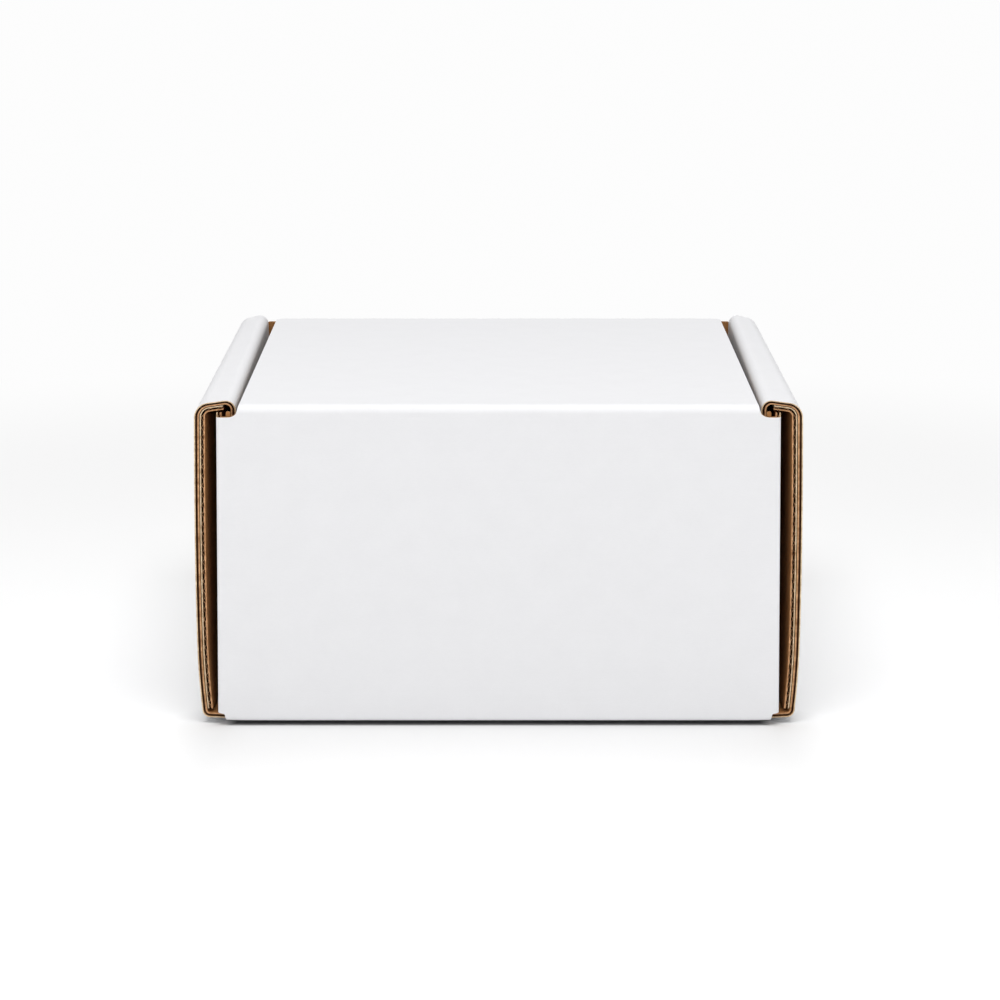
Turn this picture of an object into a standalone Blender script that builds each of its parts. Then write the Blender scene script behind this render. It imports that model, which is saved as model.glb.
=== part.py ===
"""A corrugated mailer box with rolled side walls and a lid that tucks in at the front.

Each of the two blanks is drawn flat, given the thickness of the board, and folded crease by
crease. Metres, +Z up. The rear wall, where the lid is hinged, faces -Y. The origin is on the
floor, under the middle of the box.
"""
from math import ceil, cos, pi, radians, sin, sqrt, tan

import bmesh
import bpy
from mathutils import Matrix, Vector

# The board
BOARD = 0.0017              # E-flute board, over both liners
LINER = 0.0003              # each of its two liners
EDGE_GROOVE = 0.001         # how far the flutes between the liners lie back in the cut edges
LEAST_ROUND = 0.0002        # smallest radius of the groove's own corners
CLEAR = 0.0003              # gap left between boards that lie on each other

# The box
INSIDE_WIDTH = 0.1788       # between the inner side panels, at their foot
DEPTH = 0.185               # rear wall to front wall, outside
HEIGHT = 0.1113             # foot of the walls to the top of the closed lid
SAG = 0.0018                # the floor panel sags, so the feet of the walls stand this far up
SAG_RUN = 0.022             # width of the rise around the sagging panel's flat middle

# The rolled side walls
ROLL_STAND = 0.0011         # how far the rolls stand above the lid
BASE_RADIUS = 0.001         # kraft face of the crease at the floor
OUTER_RADIUS = 0.0038       # kraft face of the roll's outer crease
INNER_RADIUS = 0.0019       # kraft face of the roll's inner crease
STRIP_SLOPE = radians(8)    # the strip on top rises towards the inside
STRIP_BOARD = 0.0013        # the strip is pressed thinner between its two creases
BOW = 0.00055               # how far the outer panel bows out at half its height
FOOT_PINCH = 0.001          # how far the outer panel leans in at its foot
FOOT_LIFT = 0.0005          # how far its crease is drawn up off the floor
FOOT_RUN = 0.025            # height over which both come back to nothing
OUTER_PINCH = 0.0004        # how much the roll's outer side comes in towards the front
INNER_PINCH = 0.0024        # how much the roll's inner side goes out towards the front
END_PLAY = 0.0013           # between the side panels' ends and the end walls

# The end walls and their flaps
END_RADIUS = 0.0005         # kraft face of the creases of the end walls
TIGHT = 5                   # how square these creases are pressed: 2 is round
FOLD_PLAY = 0.0004          # between the front flap and the inner panel, at the front
FLAP_PLAY = 0.0026          # between the two flaps inside the roll, at the rear
END_FLARE = 0.0012          # the end walls are this much wider each side at the floor
NOTCH = 0.0034              # cut back from each foot of the end walls
FRONT_DROP = 0.0018         # the front wall's edge lies this far under the lid's top
REAR_FLAP = 0.055           # length of the rear wall's flaps
FLANGE_START = 0.063        # the front flap's top flange starts this far from the front
FLANGE_NOSE = 0.0006        # width of the flange where it starts
FLANGE_PLAY = 0.0006        # between the flange's edge and the inner crease of the roll
FLANGE_BOARD = 0.0014       # the flange is pressed thinner under the strip
FLAP_CORNER = 0.006         # rounded free corners of the flaps
FOOT_CORNER = 0.0008        # rounded lower corners of the long flaps

# The locks
TAB_WIDTH = 0.026           # the inner panel's tabs, two on each side
TAB_SPACING = 0.09          # between the tabs' middles
TAB_CORNER = 0.0014

# The lid
LID_PLAY = 0.0012           # between the lid and the roll, each side
HINGE_RADIUS = 0.0012       # kraft face of the hinge crease
HINGE_CUT = 0.0003          # the cut that parts the lid's solid from the rear wall's
HINGE_OUT = 0.0002          # the hinge line lies this far outside the rear wall
HINGE_RELIEF = 0.0038       # radius of the hollow corners beside the hinge
RELIEF_DROP = 0.0004        # the hollow corners end this far under the lid's top
LID_CORNER = 0.003          # the lid's rounded front corners
TUCK_STEP = 0.0005          # the tuck flap stands this far inside those corners, each side
TUCK_RADIUS = 0.0008        # kraft face of the tuck flap's crease
TUCK_PLAY = 0.0004          # between the tuck flap and the front wall
TUCK_LEAN = radians(6)      # the tuck flap leans back, to pass the front wall as the lid opens
TUCK_DEPTH = 0.032
TUCK_TAPER = 0.002
TUCK_CORNER = 0.012

# Facets
CORNER_STEPS = 4            # facets of each rounded corner
FOLD_STEP = radians(24)     # largest turn between two facets of a crease
BOW_ROWS = 5                # rows that carry the bow of the side walls
DEPTH_ROWS = 6              # columns that carry their taper
FACET_TOUCH = 0.00003       # a cut goes through the points that it passes closer than this

QUARTER = pi / 2
OUTER_TURN = QUARTER - STRIP_SLOPE
INNER_TURN = QUARTER + STRIP_SLOPE
TUCK_TURN = QUARTER + TUCK_LEAN

# Across the box, from the inside out
INNER_FACE = INSIDE_WIDTH / 2
END_HALF = INNER_FACE + INNER_PINCH + CLEAR + FOLD_PLAY + 2 * BOARD
SIDE_KRAFT = END_HALF + END_FLARE + BOARD + 2 * CLEAR + FLAP_PLAY
LID_HALF = INNER_FACE - LID_PLAY

# The roll: its creases take up the rest of the strip's width
OUTER_CREASE_WIDTH = OUTER_RADIUS * (1 - cos(OUTER_TURN))
INNER_CREASE_WIDTH = INNER_RADIUS * (1 + cos(OUTER_TURN))
STRIP = (SIDE_KRAFT - INNER_FACE - BOARD - OUTER_CREASE_WIDTH - INNER_CREASE_WIDTH) / sin(OUTER_TURN)
STRIP_RISE = STRIP * cos(OUTER_TURN) + INNER_RADIUS * (1 - sin(OUTER_TURN))
ROLL_TOP = HEIGHT + ROLL_STAND
ROLL_CREASE = ROLL_TOP - STRIP_BOARD - OUTER_RADIUS * sin(OUTER_TURN) - STRIP_RISE
STRIP_OUTER = SIDE_KRAFT - OUTER_CREASE_WIDTH
STRIP_INNER = INNER_FACE + BOARD + INNER_CREASE_WIDTH

# The side of the tray's blank, from the floor panel's crease outwards
BASE_CREASE = SIDE_KRAFT - FOOT_PINCH - BASE_RADIUS
SIDE_FOOT = BOARD + BASE_RADIUS
PANEL_START = BASE_CREASE + BASE_RADIUS * QUARTER
PANEL_END = PANEL_START + ROLL_CREASE - SIDE_FOOT
STRIP_START = PANEL_END + OUTER_RADIUS * OUTER_TURN
STRIP_END = STRIP_START + STRIP
INNER_START = STRIP_END + INNER_RADIUS * INNER_TURN
INNER_TOP = ROLL_TOP - STRIP_BOARD - INNER_RADIUS
INNER_END = INNER_START + INNER_TOP - BOARD - CLEAR
TAB_END = INNER_END + BOARD
SIDE_END = DEPTH / 2 - BOARD - END_PLAY
SIDE_LENGTH = 2 * SIDE_END

# The ends of the tray's blank
WALL_CREASE = DEPTH / 2 - BOARD - END_RADIUS
WALL_FOOT = BOARD + END_RADIUS
WALL_START = WALL_CREASE + END_RADIUS * QUARTER
BASE_HALF = (END_HALF + END_FLARE - NOTCH) / (1 + END_FLARE / END_HALF)
FLAP_CREASE = END_HALF - BOARD - END_RADIUS
FLAP_START = FLAP_CREASE + END_RADIUS * QUARTER
FRONT_FLAP = WALL_CREASE + SIDE_END
FLANGE_RADIUS = OUTER_RADIUS - CLEAR - BOARD
FLANGE = STRIP - FLANGE_PLAY
FLAP_FOOT = SIDE_FOOT + CLEAR

# The sagging floor panel
FLAT_X = INNER_FACE - CLEAR - SAG_RUN
FLAT_Y = SIDE_END - SAG_RUN

# The hinge and the lid
HINGE_Z = HEIGHT - BOARD - HINGE_RADIUS
RELIEF_Z = HEIGHT - RELIEF_DROP
SHOULDER = RELIEF_Z - HINGE_RELIEF
HINGE_CREASE = DEPTH / 2 - BOARD - HINGE_RADIUS
HINGE_END = HINGE_CREASE + HINGE_RADIUS * QUARTER
TUCK_CREASE = DEPTH / 2 - BOARD - TUCK_PLAY - BOARD - TUCK_RADIUS
TUCK_START = TUCK_CREASE + TUCK_RADIUS * TUCK_TURN
TUCK_END = TUCK_START + TUCK_DEPTH
TUCK_HALF = LID_HALF - LID_CORNER - TUCK_STEP
HINGE_AXIS = Vector((0, -DEPTH / 2 - HINGE_OUT, SAG + HINGE_Z - HINGE_CUT / 2))

WHITE = (0.83, 0.83, 0.84, 1)
ROUGHNESS = 0.6


def wall_v(height):
    """Where a height on an end wall lies on the flat blank, from the middle of the floor panel."""
    return WALL_START + height - WALL_FOOT


def clamp(value):
    return min(max(value, 0.0), 1.0)


def bow(height):
    """How far the outer side panel bows out at this height."""
    return BOW * sin(pi * clamp(height / ROLL_CREASE))


def lean(height):
    """How far the outer side panel stands out at this height, its foot's pinch included."""
    return bow(height) - FOOT_PINCH * clamp(1 - (height - SIDE_FOOT) / FOOT_RUN) ** 2


def end_spread(height):
    """How much wider the end walls are at this height than at their top."""
    return 1 + END_FLARE / END_HALF * clamp(1 - height / HEIGHT)


# Outlines of the blanks

def rounded(corners):
    """The outline through corners given as (u, v, radius), each rounded by its own arc."""
    points = []
    for index, (u, v, radius) in enumerate(corners):
        corner = Vector((u, v))
        if not radius:
            points.append(corner)
            continue
        back = (Vector(corners[index - 1][:2]) - corner).normalized()
        ahead = (Vector(corners[(index + 1) % len(corners)][:2]) - corner).normalized()
        half = back.angle(ahead) / 2
        centre = corner + (back + ahead).normalized() * radius / sin(half)
        start = corner + back * radius / tan(half) - centre
        sweep = pi - 2 * half
        if back.cross(ahead) > 0:
            sweep = -sweep
        for step in range(CORNER_STEPS + 1):
            points.append(centre + Matrix.Rotation(sweep * step / CORNER_STEPS, 2) @ start)
    return points


def hinge_relief(height):
    """Half the width of the hinge at a height inside its hollow corners."""
    rise = min(RELIEF_Z - height, HINGE_RELIEF)
    return LID_HALF + HINGE_RELIEF - sqrt(HINGE_RELIEF ** 2 - max(rise, 0) ** 2)


def rear_end():
    """Right half of the rear wall with its flap, from the hinge to the side panel."""
    hinge_top = HINGE_Z - HINGE_CUT
    steps = [hinge_top + (SHOULDER - hinge_top) * step / CORNER_STEPS for step in range(CORNER_STEPS + 1)]
    relief = [(hinge_relief(height), -wall_v(height), 0) for height in steps]
    flap_top = -wall_v(SHOULDER)
    flap_foot = -wall_v(FLAP_FOOT)
    flap_end = FLAP_START + REAR_FLAP
    flap = [
        (FLAP_START, flap_top, 0),
        (flap_end, flap_top + FLAP_CORNER, FLAP_CORNER),
        (flap_end, flap_foot - FLAP_CORNER, FLAP_CORNER),
        (FLAP_START, flap_foot, 0),
    ]
    notch = [(FLAP_CREASE, -WALL_START, 0), (BASE_HALF, -WALL_CREASE, 0), (BASE_HALF, -SIDE_END, CLEAR)]
    return relief + flap + notch


def front_end():
    """Right half of the front wall with its long flap and flange, from the side panel to the middle."""
    flap_top = wall_v(ROLL_CREASE)
    flap_foot = wall_v(FLAP_FOOT)
    flap_end = FLAP_START + FRONT_FLAP
    flange_start = FLAP_START + FLANGE_START
    flange_root = flap_top + FLANGE_RADIUS * OUTER_TURN
    notch = [(BASE_HALF, SIDE_END, CLEAR), (BASE_HALF, WALL_CREASE, 0), (FLAP_CREASE, WALL_START, 0)]
    flap = [
        (FLAP_START, flap_foot, 0),
        (flap_end, flap_foot, FOOT_CORNER),
        (flap_end, flange_root + FLANGE, 0),
        (flange_start, flange_root + FLANGE_NOSE, 0),
        (flange_start, flap_top, 0),
        (FLAP_START, flap_top, 0),
    ]
    top = wall_v(HEIGHT - FRONT_DROP)
    edge = [(FLAP_CREASE, wall_v(SHOULDER), 0), (FLAP_CREASE - BOARD, top, BOARD)]
    return notch + flap + edge


def side_panels():
    """The right side of the blank, from rear to front: outer panel, strip, inner panel and tabs."""
    corners = [(INNER_END, -SIDE_END, FLAP_CORNER)]
    for middle in (-TAB_SPACING / 2, TAB_SPACING / 2):
        first = middle - TAB_WIDTH / 2
        last = middle + TAB_WIDTH / 2
        corners += [(INNER_END, first, 0), (TAB_END, first, TAB_CORNER)]
        corners += [(TAB_END, last, TAB_CORNER), (INNER_END, last, 0)]
    return corners + [(INNER_END, SIDE_END, FLAP_CORNER)]


def both_halves(right):
    """An outline's right half, with its mirrored copy as the left half."""
    return right + [(-u, v, radius) for u, v, radius in reversed(right)]


def lock_slots():
    """The corners of the slots in the floor panel, which the tabs fill but for a clearance."""
    slots = []
    for side in (-1, 1):
        for middle in (-TAB_SPACING / 2, TAB_SPACING / 2):
            near = INNER_FACE - CLEAR
            far = INNER_FACE + BOARD + CLEAR
            half = TAB_WIDTH / 2 + CLEAR
            corners = [(side * near, middle - half, 0), (side * far, middle - half, 0)]
            corners += [(side * far, middle + half, 0), (side * near, middle + half, 0)]
            slots.append(corners)
    return slots


def lid_half_outline():
    """Right half of the lid's blank, from the hinge to the edge of the tuck flap."""
    steps = [HINGE_Z + (RELIEF_Z - HINGE_Z) * step / CORNER_STEPS for step in range(CORNER_STEPS + 1)]
    relief = [(hinge_relief(height), -HINGE_END + height - HINGE_Z, 0) for height in steps]
    return relief + [
        (LID_HALF, TUCK_CREASE, LID_CORNER),
        (TUCK_HALF, TUCK_CREASE, 0),
        (TUCK_HALF, TUCK_START, 0),
        (TUCK_HALF - TUCK_TAPER, TUCK_END, TUCK_CORNER),
    ]


# Flat board

def sunk(corners, is_hole):
    """The corners of the groove's bottom. An outline's closing edge is the hinge cut, with no groove."""
    points = [Vector(corner[:2]) for corner in corners]
    area = sum(points[index - 1].cross(point) for index, point in enumerate(points))
    way = 1 if (area > 0) != is_hole else -1
    moved = []
    for index, (u, v, radius) in enumerate(corners):
        after = (index + 1) % len(points)
        arriving = (points[index] - points[index - 1]).normalized()
        leaving = (points[after] - points[index]).normalized()
        depth_before = EDGE_GROOVE if index or is_hole else 0
        depth_after = EDGE_GROOVE if after or is_hole else 0
        turn = way * arriving.cross(leaving)
        if abs(turn) > FACET_TOUCH:
            move = (leaving * depth_before - arriving * depth_after) / turn
        else:
            move = Vector((-arriving.y, arriving.x)) * way * EDGE_GROOVE
        if radius:
            radius = max(radius - EDGE_GROOVE, LEAST_ROUND) if turn > 0 else radius + EDGE_GROOVE
        moved.append((u + move.x, v + move.y, radius))
    return moved


def hinge_cut(board, start, end):
    """The flat face of the hinge cut, between the columns of corners at its ends."""
    for rim, lip, bottom in ((0, 1, 2), (5, 4, 3)):
        board.faces.new((start[rim], end[rim], end[bottom], start[bottom]))
        board.faces.new((end[rim], end[lip], end[bottom]))
        board.faces.new((start[rim], start[bottom], start[lip]))
    board.faces.new((start[2], end[2], end[3], start[3]))


def cut_edges(board, corners, is_hole):
    """The walls along one loop of the outline, grooved between the liners. Gives both its rims."""
    rim = rounded(corners)
    groove = rounded(sunk(corners, is_hole))
    levels = [(rim, 0), (rim, LINER), (groove, LINER)]
    levels += [(groove, BOARD - LINER), (rim, BOARD - LINER), (rim, BOARD)]
    rings = [[board.verts.new((u, v, depth)) for u, v in loop] for loop, depth in levels]
    for index in range(len(rim)):
        if index or is_hole:
            for low, high in zip(rings, rings[1:]):
                board.faces.new((low[index - 1], low[index], high[index], high[index - 1]))
        else:
            hinge_cut(board, [ring[-1] for ring in rings], [ring[0] for ring in rings])
    return rings[0], rings[-1]


def flat_board(outline, holes=()):
    """A closed slab of the board: its kraft face at w = 0 and its white face at w = BOARD."""
    board = bmesh.new()
    loops = [cut_edges(board, outline, False)] + [cut_edges(board, hole, True) for hole in holes]
    for rims in zip(*loops):
        edges = [board.edges.get((ring[index - 1], ring[index])) for ring in rims for index in range(len(ring))]
        bmesh.ops.triangle_fill(board, use_beauty=True, edges=edges)
    bmesh.ops.recalc_face_normals(board, faces=board.faces[:])
    return board


def score(board, axis, places, chosen=None):
    """Cut the board at places along an axis, where the middle of a face fits the choice."""
    normal = Vector((1 - axis, axis, 0))
    for place in places:
        faces = [face for face in board.faces if chosen is None or chosen(face.calc_center_median())]
        edges = {edge for face in faces for edge in face.edges}
        corners = {corner for face in faces for corner in face.verts}
        bmesh.ops.bisect_plane(
            board,
            geom=[*corners, *edges, *faces],
            dist=FACET_TOUCH,
            plane_co=normal * place,
            plane_no=normal,
        )


def crease_places(start, radius, turn):
    """Where a crease is scored, so that it folds in even facets."""
    steps = ceil(turn / FOLD_STEP)
    return [start + radius * turn * step / steps for step in range(steps + 1)]


def both_ways(places):
    return [side * place for side in (-1, 1) for place in places]


def on_side(middle):
    return abs(middle.y) < SIDE_END + FACET_TOUCH


def on_end(middle):
    return abs(middle.y) > WALL_START


def on_floor(middle):
    return on_side(middle) and abs(middle.x) < BASE_CREASE


def on_front_flap(middle):
    return middle.y > 0 and abs(middle.x) > FLAP_START


def on_bowed_side(middle):
    return on_side(middle) and abs(middle.x) > BASE_CREASE


# Folding

def fullness(angle, power):
    """How far out a crease stands at an angle, against a round one: a higher power is squarer."""
    return (cos(angle) ** power + sin(angle) ** power) ** (-1 / power)


def bend(place, flat, axis, start, turn, radius, power=2):
    """Fold what lies past a crease, on either side of the middle, by a turn towards the kraft face.

    Both points are (u, v, w), with w measured outwards from the flat board's kraft face: the flat
    one says what lies past the crease, and the placed one already holds the folds further out.
    """
    way = 1 if flat[axis] > 0 else -1
    past = way * flat[axis] - start
    if past <= 0:
        return place
    angle = turn * min(past / (radius * turn), 1)
    beyond = way * place[axis] - start - radius * angle
    outwards = (radius + place[2]) * (fullness(angle, power) if power > 2 else 1)
    folded = Vector(place)
    folded[axis] = way * (start + outwards * sin(angle) + beyond * cos(angle))
    folded[2] = outwards * cos(angle) - beyond * sin(angle) - radius
    return folded


def press_strip(flat):
    """Thin the board from its white face, between the two creases of the roll."""
    reach = abs(flat.x)
    pressed = clamp((reach - PANEL_END) / (STRIP_START - PANEL_END))
    pressed -= clamp((reach - STRIP_END) / (INNER_START - STRIP_END))
    return Vector((flat.x, flat.y, flat.z * (1 - pressed * (1 - STRIP_BOARD / BOARD))))


def press_flange(flat):
    """Thin the board from its kraft face, past the crease of the flange."""
    crease = wall_v(ROLL_CREASE)
    pressed = clamp((flat.y - crease) / (FLANGE_RADIUS * OUTER_TURN))
    return Vector((flat.x, flat.y, BOARD - (BOARD - flat.z) * (1 - pressed * (1 - FLANGE_BOARD / BOARD))))


def fold_side(flat):
    """Fold the strip and the inner panel over, then stand the outer panel up."""
    place = bend(press_strip(flat), flat, 0, STRIP_END, INNER_TURN, INNER_RADIUS)
    place = bend(place, flat, 0, PANEL_END, OUTER_TURN, OUTER_RADIUS)
    return bend(place, flat, 0, BASE_CREASE, QUARTER, BASE_RADIUS)


def fold_end(flat):
    """Fold the flaps in, the front ones with their flange first, then stand the wall up."""
    place = flat
    if on_front_flap(flat):
        place = bend(press_flange(flat), flat, 1, wall_v(ROLL_CREASE), OUTER_TURN, FLANGE_RADIUS)
    place = bend(place, flat, 0, FLAP_CREASE, QUARTER, END_RADIUS, TIGHT)
    return bend(place, flat, 1, WALL_CREASE, QUARTER, END_RADIUS, TIGHT)


def settle_side(place):
    """Bow the outer panel out, and narrow the roll towards the front."""
    side = 1 if place.x > 0 else -1
    reach = abs(place.x) + FOOT_PINCH
    ahead = clamp((place.y + SIDE_END) / SIDE_LENGTH)
    rise = place.z / HEIGHT
    inwards = clamp((STRIP_OUTER - reach) / (STRIP_OUTER - STRIP_INNER))
    outer = lean(place.z) - OUTER_PINCH * ahead * rise
    inner = INNER_PINCH * ahead * rise
    place.x = side * (reach + outer * (1 - inwards) + inner * inwards)
    return place


def settle_end(place, on_long_flap):
    """Spread the end walls towards the floor, and lay the long flaps against the outer panels."""
    spread = end_spread(place.z)
    place.x *= spread
    if on_long_flap:
        side = 1 if place.x > 0 else -1
        back = clamp((WALL_CREASE - place.y) / FRONT_FLAP)
        place.x += side * back * (SIDE_KRAFT + lean(place.z) - CLEAR - END_HALF * spread)
    return place


def settle_floor(place):
    """Let the floor panel sag, and draw its creases up: what stands around its middle is lifted."""
    across = clamp((abs(place.x) - FLAT_X) / SAG_RUN)
    along = clamp((abs(place.y) - FLAT_Y) / SAG_RUN)
    drawn_up = clamp((abs(place.x) - INNER_FACE) / (BASE_CREASE - INNER_FACE)) * clamp(1 - place.z / FOOT_RUN)
    place.z += SAG * max(across, along) + FOOT_LIFT * drawn_up
    return place


def tray_place(flat):
    """Where a point of the tray's flat blank ends up in the folded box."""
    at_end = abs(flat.y) > SIDE_END + FACET_TOUCH
    folded = fold_end(flat) if at_end else fold_side(flat)
    place = Vector((folded[0], folded[1], BOARD - folded[2]))
    if at_end:
        place = settle_end(place, on_front_flap(flat))
    elif abs(flat.x) > BASE_CREASE:
        place = settle_side(place)
    return settle_floor(place)


def lid_place(flat):
    """Where a point of the lid's flat blank ends up on the closed box."""
    if flat.y > 0:
        folded = bend(flat, flat, 1, TUCK_CREASE, TUCK_TURN, TUCK_RADIUS)
    else:
        folded = bend(flat, flat, 1, HINGE_CREASE, QUARTER, HINGE_RADIUS)
    return Vector((folded[0], folded[1], SAG + HEIGHT - BOARD + folded[2]))


# The two pieces

def tray_board():
    """The tray's blank, scored along its creases and where its panels curve."""
    board = flat_board(both_halves(rear_end() + side_panels() + front_end()), lock_slots())
    heights = [SIDE_FOOT + (ROLL_CREASE - SIDE_FOOT) * row / BOW_ROWS for row in range(1, BOW_ROWS)]
    depths = [-SIDE_END + SIDE_LENGTH * column / DEPTH_ROWS for column in range(1, DEPTH_ROWS)]

    score(board, 1, both_ways([SIDE_END, *crease_places(WALL_CREASE, END_RADIUS, QUARTER)]))
    score(board, 0, both_ways(crease_places(BASE_CREASE, BASE_RADIUS, QUARTER)), on_side)
    score(board, 0, both_ways([FLAT_X, FLAT_X + SAG_RUN]), on_floor)
    score(board, 1, both_ways([FLAT_Y]), on_floor)
    score(board, 0, both_ways([PANEL_START + height - SIDE_FOOT for height in heights]), on_side)
    score(board, 0, both_ways(crease_places(PANEL_END, OUTER_RADIUS, OUTER_TURN)), on_side)
    score(board, 0, both_ways(crease_places(STRIP_END, INNER_RADIUS, INNER_TURN)), on_side)
    score(board, 1, depths, on_bowed_side)

    score(board, 0, both_ways(crease_places(FLAP_CREASE, END_RADIUS, QUARTER)), on_end)
    score(board, 1, [wall_v(height) for height in heights], on_front_flap)
    score(board, 1, crease_places(wall_v(ROLL_CREASE), FLANGE_RADIUS, OUTER_TURN), on_front_flap)
    score(board, 0, both_ways([FLAP_START + WALL_CREASE - depth for depth in depths]), on_front_flap)
    return board


def lid_board():
    """The lid's blank, scored along its hinge and along the crease of its tuck flap."""
    board = flat_board(both_halves(lid_half_outline()))
    score(board, 1, [-place for place in crease_places(HINGE_CREASE, HINGE_RADIUS, QUARTER)])
    score(board, 1, crease_places(TUCK_CREASE, TUCK_RADIUS, TUCK_TURN))
    return board


def white_board():
    """Coated white liner, as the outside of both pieces shows it."""
    material = bpy.data.materials.new("white_board")
    material.use_nodes = True
    shader = material.node_tree.nodes["Principled BSDF"]
    shader.inputs["Base Color"].default_value = WHITE
    shader.inputs["Roughness"].default_value = ROUGHNESS
    shader.inputs["Metallic"].default_value = 0
    return material


def fold_piece(name, board, placed, origin, material):
    """Fold a scored blank into a named object, with its origin at the given point."""
    for corner in board.verts:
        corner.co = placed(corner.co.copy()) - origin
    bmesh.ops.triangulate(board, faces=board.faces[:])
    if board.calc_volume(signed=True) < 0:
        bmesh.ops.reverse_faces(board, faces=board.faces[:])
    mesh = bpy.data.meshes.new(name)
    board.to_mesh(mesh)
    board.free()
    mesh.shade_smooth()
    mesh.set_sharp_from_angle(angle=FOLD_STEP + radians(6))
    mesh.materials.append(material)
    piece = bpy.data.objects.new(name, mesh)
    piece.location = origin
    bpy.context.scene.collection.objects.link(piece)
    return piece


def build():
    for leftover in list(bpy.data.objects):
        bpy.data.objects.remove(leftover)
    material = white_board()
    fold_piece("tray", tray_board(), tray_place, Vector((0, 0, 0)), material)
    fold_piece("lid", lid_board(), lid_place, HINGE_AXIS, material)


build()
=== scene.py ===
"""The looks of the corrugated mailer box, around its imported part.

The board is shown as it is made: a white liner, a kraft liner and the fluted paper between them.
Each layer is cut flat to the outline of its blank and folded crease by crease, as the part is.
Metres, +Z up. The rear wall, where the lid is hinged, faces -Y.
"""
from math import ceil, cos, pi, radians, sin, sqrt, tan

import bmesh
import bpy
import numpy as np
from mathutils import Matrix, Vector


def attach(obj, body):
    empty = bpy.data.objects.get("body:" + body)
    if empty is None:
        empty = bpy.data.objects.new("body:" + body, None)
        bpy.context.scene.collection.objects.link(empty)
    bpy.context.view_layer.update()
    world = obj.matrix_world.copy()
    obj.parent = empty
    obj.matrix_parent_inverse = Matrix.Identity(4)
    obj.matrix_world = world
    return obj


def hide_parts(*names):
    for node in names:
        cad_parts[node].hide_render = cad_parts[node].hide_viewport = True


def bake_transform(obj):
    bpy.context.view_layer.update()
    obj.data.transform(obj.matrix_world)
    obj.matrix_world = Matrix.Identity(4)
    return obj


# The board
BOARD = 0.0017              # E-flute board, over both liners
CLEAR = 0.0003              # gap left between boards that lie on each other

# The box
INSIDE_WIDTH = 0.1788       # between the inner side panels, at their foot
DEPTH = 0.185               # rear wall to front wall, outside
HEIGHT = 0.1113             # foot of the walls to the top of the closed lid
SAG = 0.0018                # the floor panel sags, so the feet of the walls stand this far up
SAG_RUN = 0.022             # width of the rise around the sagging panel's flat middle

# The rolled side walls
ROLL_STAND = 0.0011         # how far the rolls stand above the lid
BASE_RADIUS = 0.001         # kraft face of the crease at the floor
OUTER_RADIUS = 0.0038       # kraft face of the roll's outer crease
INNER_RADIUS = 0.0019       # kraft face of the roll's inner crease
STRIP_SLOPE = radians(8)    # the strip on top rises towards the inside
STRIP_BOARD = 0.0013        # the strip is pressed thinner between its two creases
BOW = 0.00055               # how far the outer panel bows out at half its height
FOOT_PINCH = 0.001          # how far the outer panel leans in at its foot
FOOT_LIFT = 0.0005          # how far its crease is drawn up off the floor
FOOT_RUN = 0.025            # height over which both come back to nothing
OUTER_PINCH = 0.0004        # how much the roll's outer side comes in towards the front
INNER_PINCH = 0.0024        # how much the roll's inner side goes out towards the front
END_PLAY = 0.0013           # between the side panels' ends and the end walls

# The end walls and their flaps
END_RADIUS = 0.0005         # kraft face of the creases of the end walls
TIGHT = 5                   # how square these creases are pressed: 2 is round
FOLD_PLAY = 0.0004          # between the front flap and the inner panel, at the front
FLAP_PLAY = 0.0026          # between the two flaps inside the roll, at the rear
END_FLARE = 0.0012          # the end walls are this much wider each side at the floor
NOTCH = 0.0034              # cut back from each foot of the end walls
FRONT_DROP = 0.0018         # the front wall's edge lies this far under the lid's top
REAR_FLAP = 0.055           # length of the rear wall's flaps
FLANGE_START = 0.063        # the front flap's top flange starts this far from the front
FLANGE_NOSE = 0.0006        # width of the flange where it starts
FLANGE_PLAY = 0.0006        # between the flange's edge and the inner crease of the roll
FLANGE_BOARD = 0.0014       # the flange is pressed thinner under the strip
FLAP_CORNER = 0.006         # rounded free corners of the flaps
FOOT_CORNER = 0.0008        # rounded lower corners of the long flaps

# The locks
TAB_WIDTH = 0.026           # the inner panel's tabs, two on each side
TAB_SPACING = 0.09          # between the tabs' middles
TAB_CORNER = 0.0014

# The lid
LID_PLAY = 0.0012           # between the lid and the roll, each side
HINGE_RADIUS = 0.0012       # kraft face of the hinge crease
HINGE_CUT = 0.0003          # the cut that parts the lid's solid from the rear wall's
HINGE_RELIEF = 0.0038       # radius of the hollow corners beside the hinge
RELIEF_DROP = 0.0004        # the hollow corners end this far under the lid's top
LID_CORNER = 0.003          # the lid's rounded front corners
TUCK_STEP = 0.0005          # the tuck flap stands this far inside those corners, each side
TUCK_RADIUS = 0.0008        # kraft face of the tuck flap's crease
TUCK_PLAY = 0.0004          # between the tuck flap and the front wall
TUCK_LEAN = radians(6)      # the tuck flap leans back, to pass the front wall as the lid opens
TUCK_DEPTH = 0.032
TUCK_TAPER = 0.002
TUCK_CORNER = 0.012

# Where the board gave way at the hinge
FLAP_RISE = 0.0013          # the rear wall's flaps stand this far above its shoulder
EAR_WIDTH = 0.0015          # a bit of kraft liner left standing beside the hinge
EAR_HEIGHT = 0.0018
EAR_CORNER = 0.0005

# The layers of the board
LINER = 0.00038             # each of its two liners
MEDIUM = 0.0002             # the fluted paper between them
FLUTE_PITCH = 0.00337       # from crest to crest
FLUTE_ROWS = 12             # rows of facets in each flute
FLUTE_CRUSH = 3             # how narrow the crests are: 1 is an even wave
FLUTE_REACH = 0.006         # how far in from the cut edges the fluted paper is made
SHEET_REACH = 0.3           # it is cut into columns out to here, on each side of the middle
SHEET_COLUMNS = 150         # and this is how many

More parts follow.
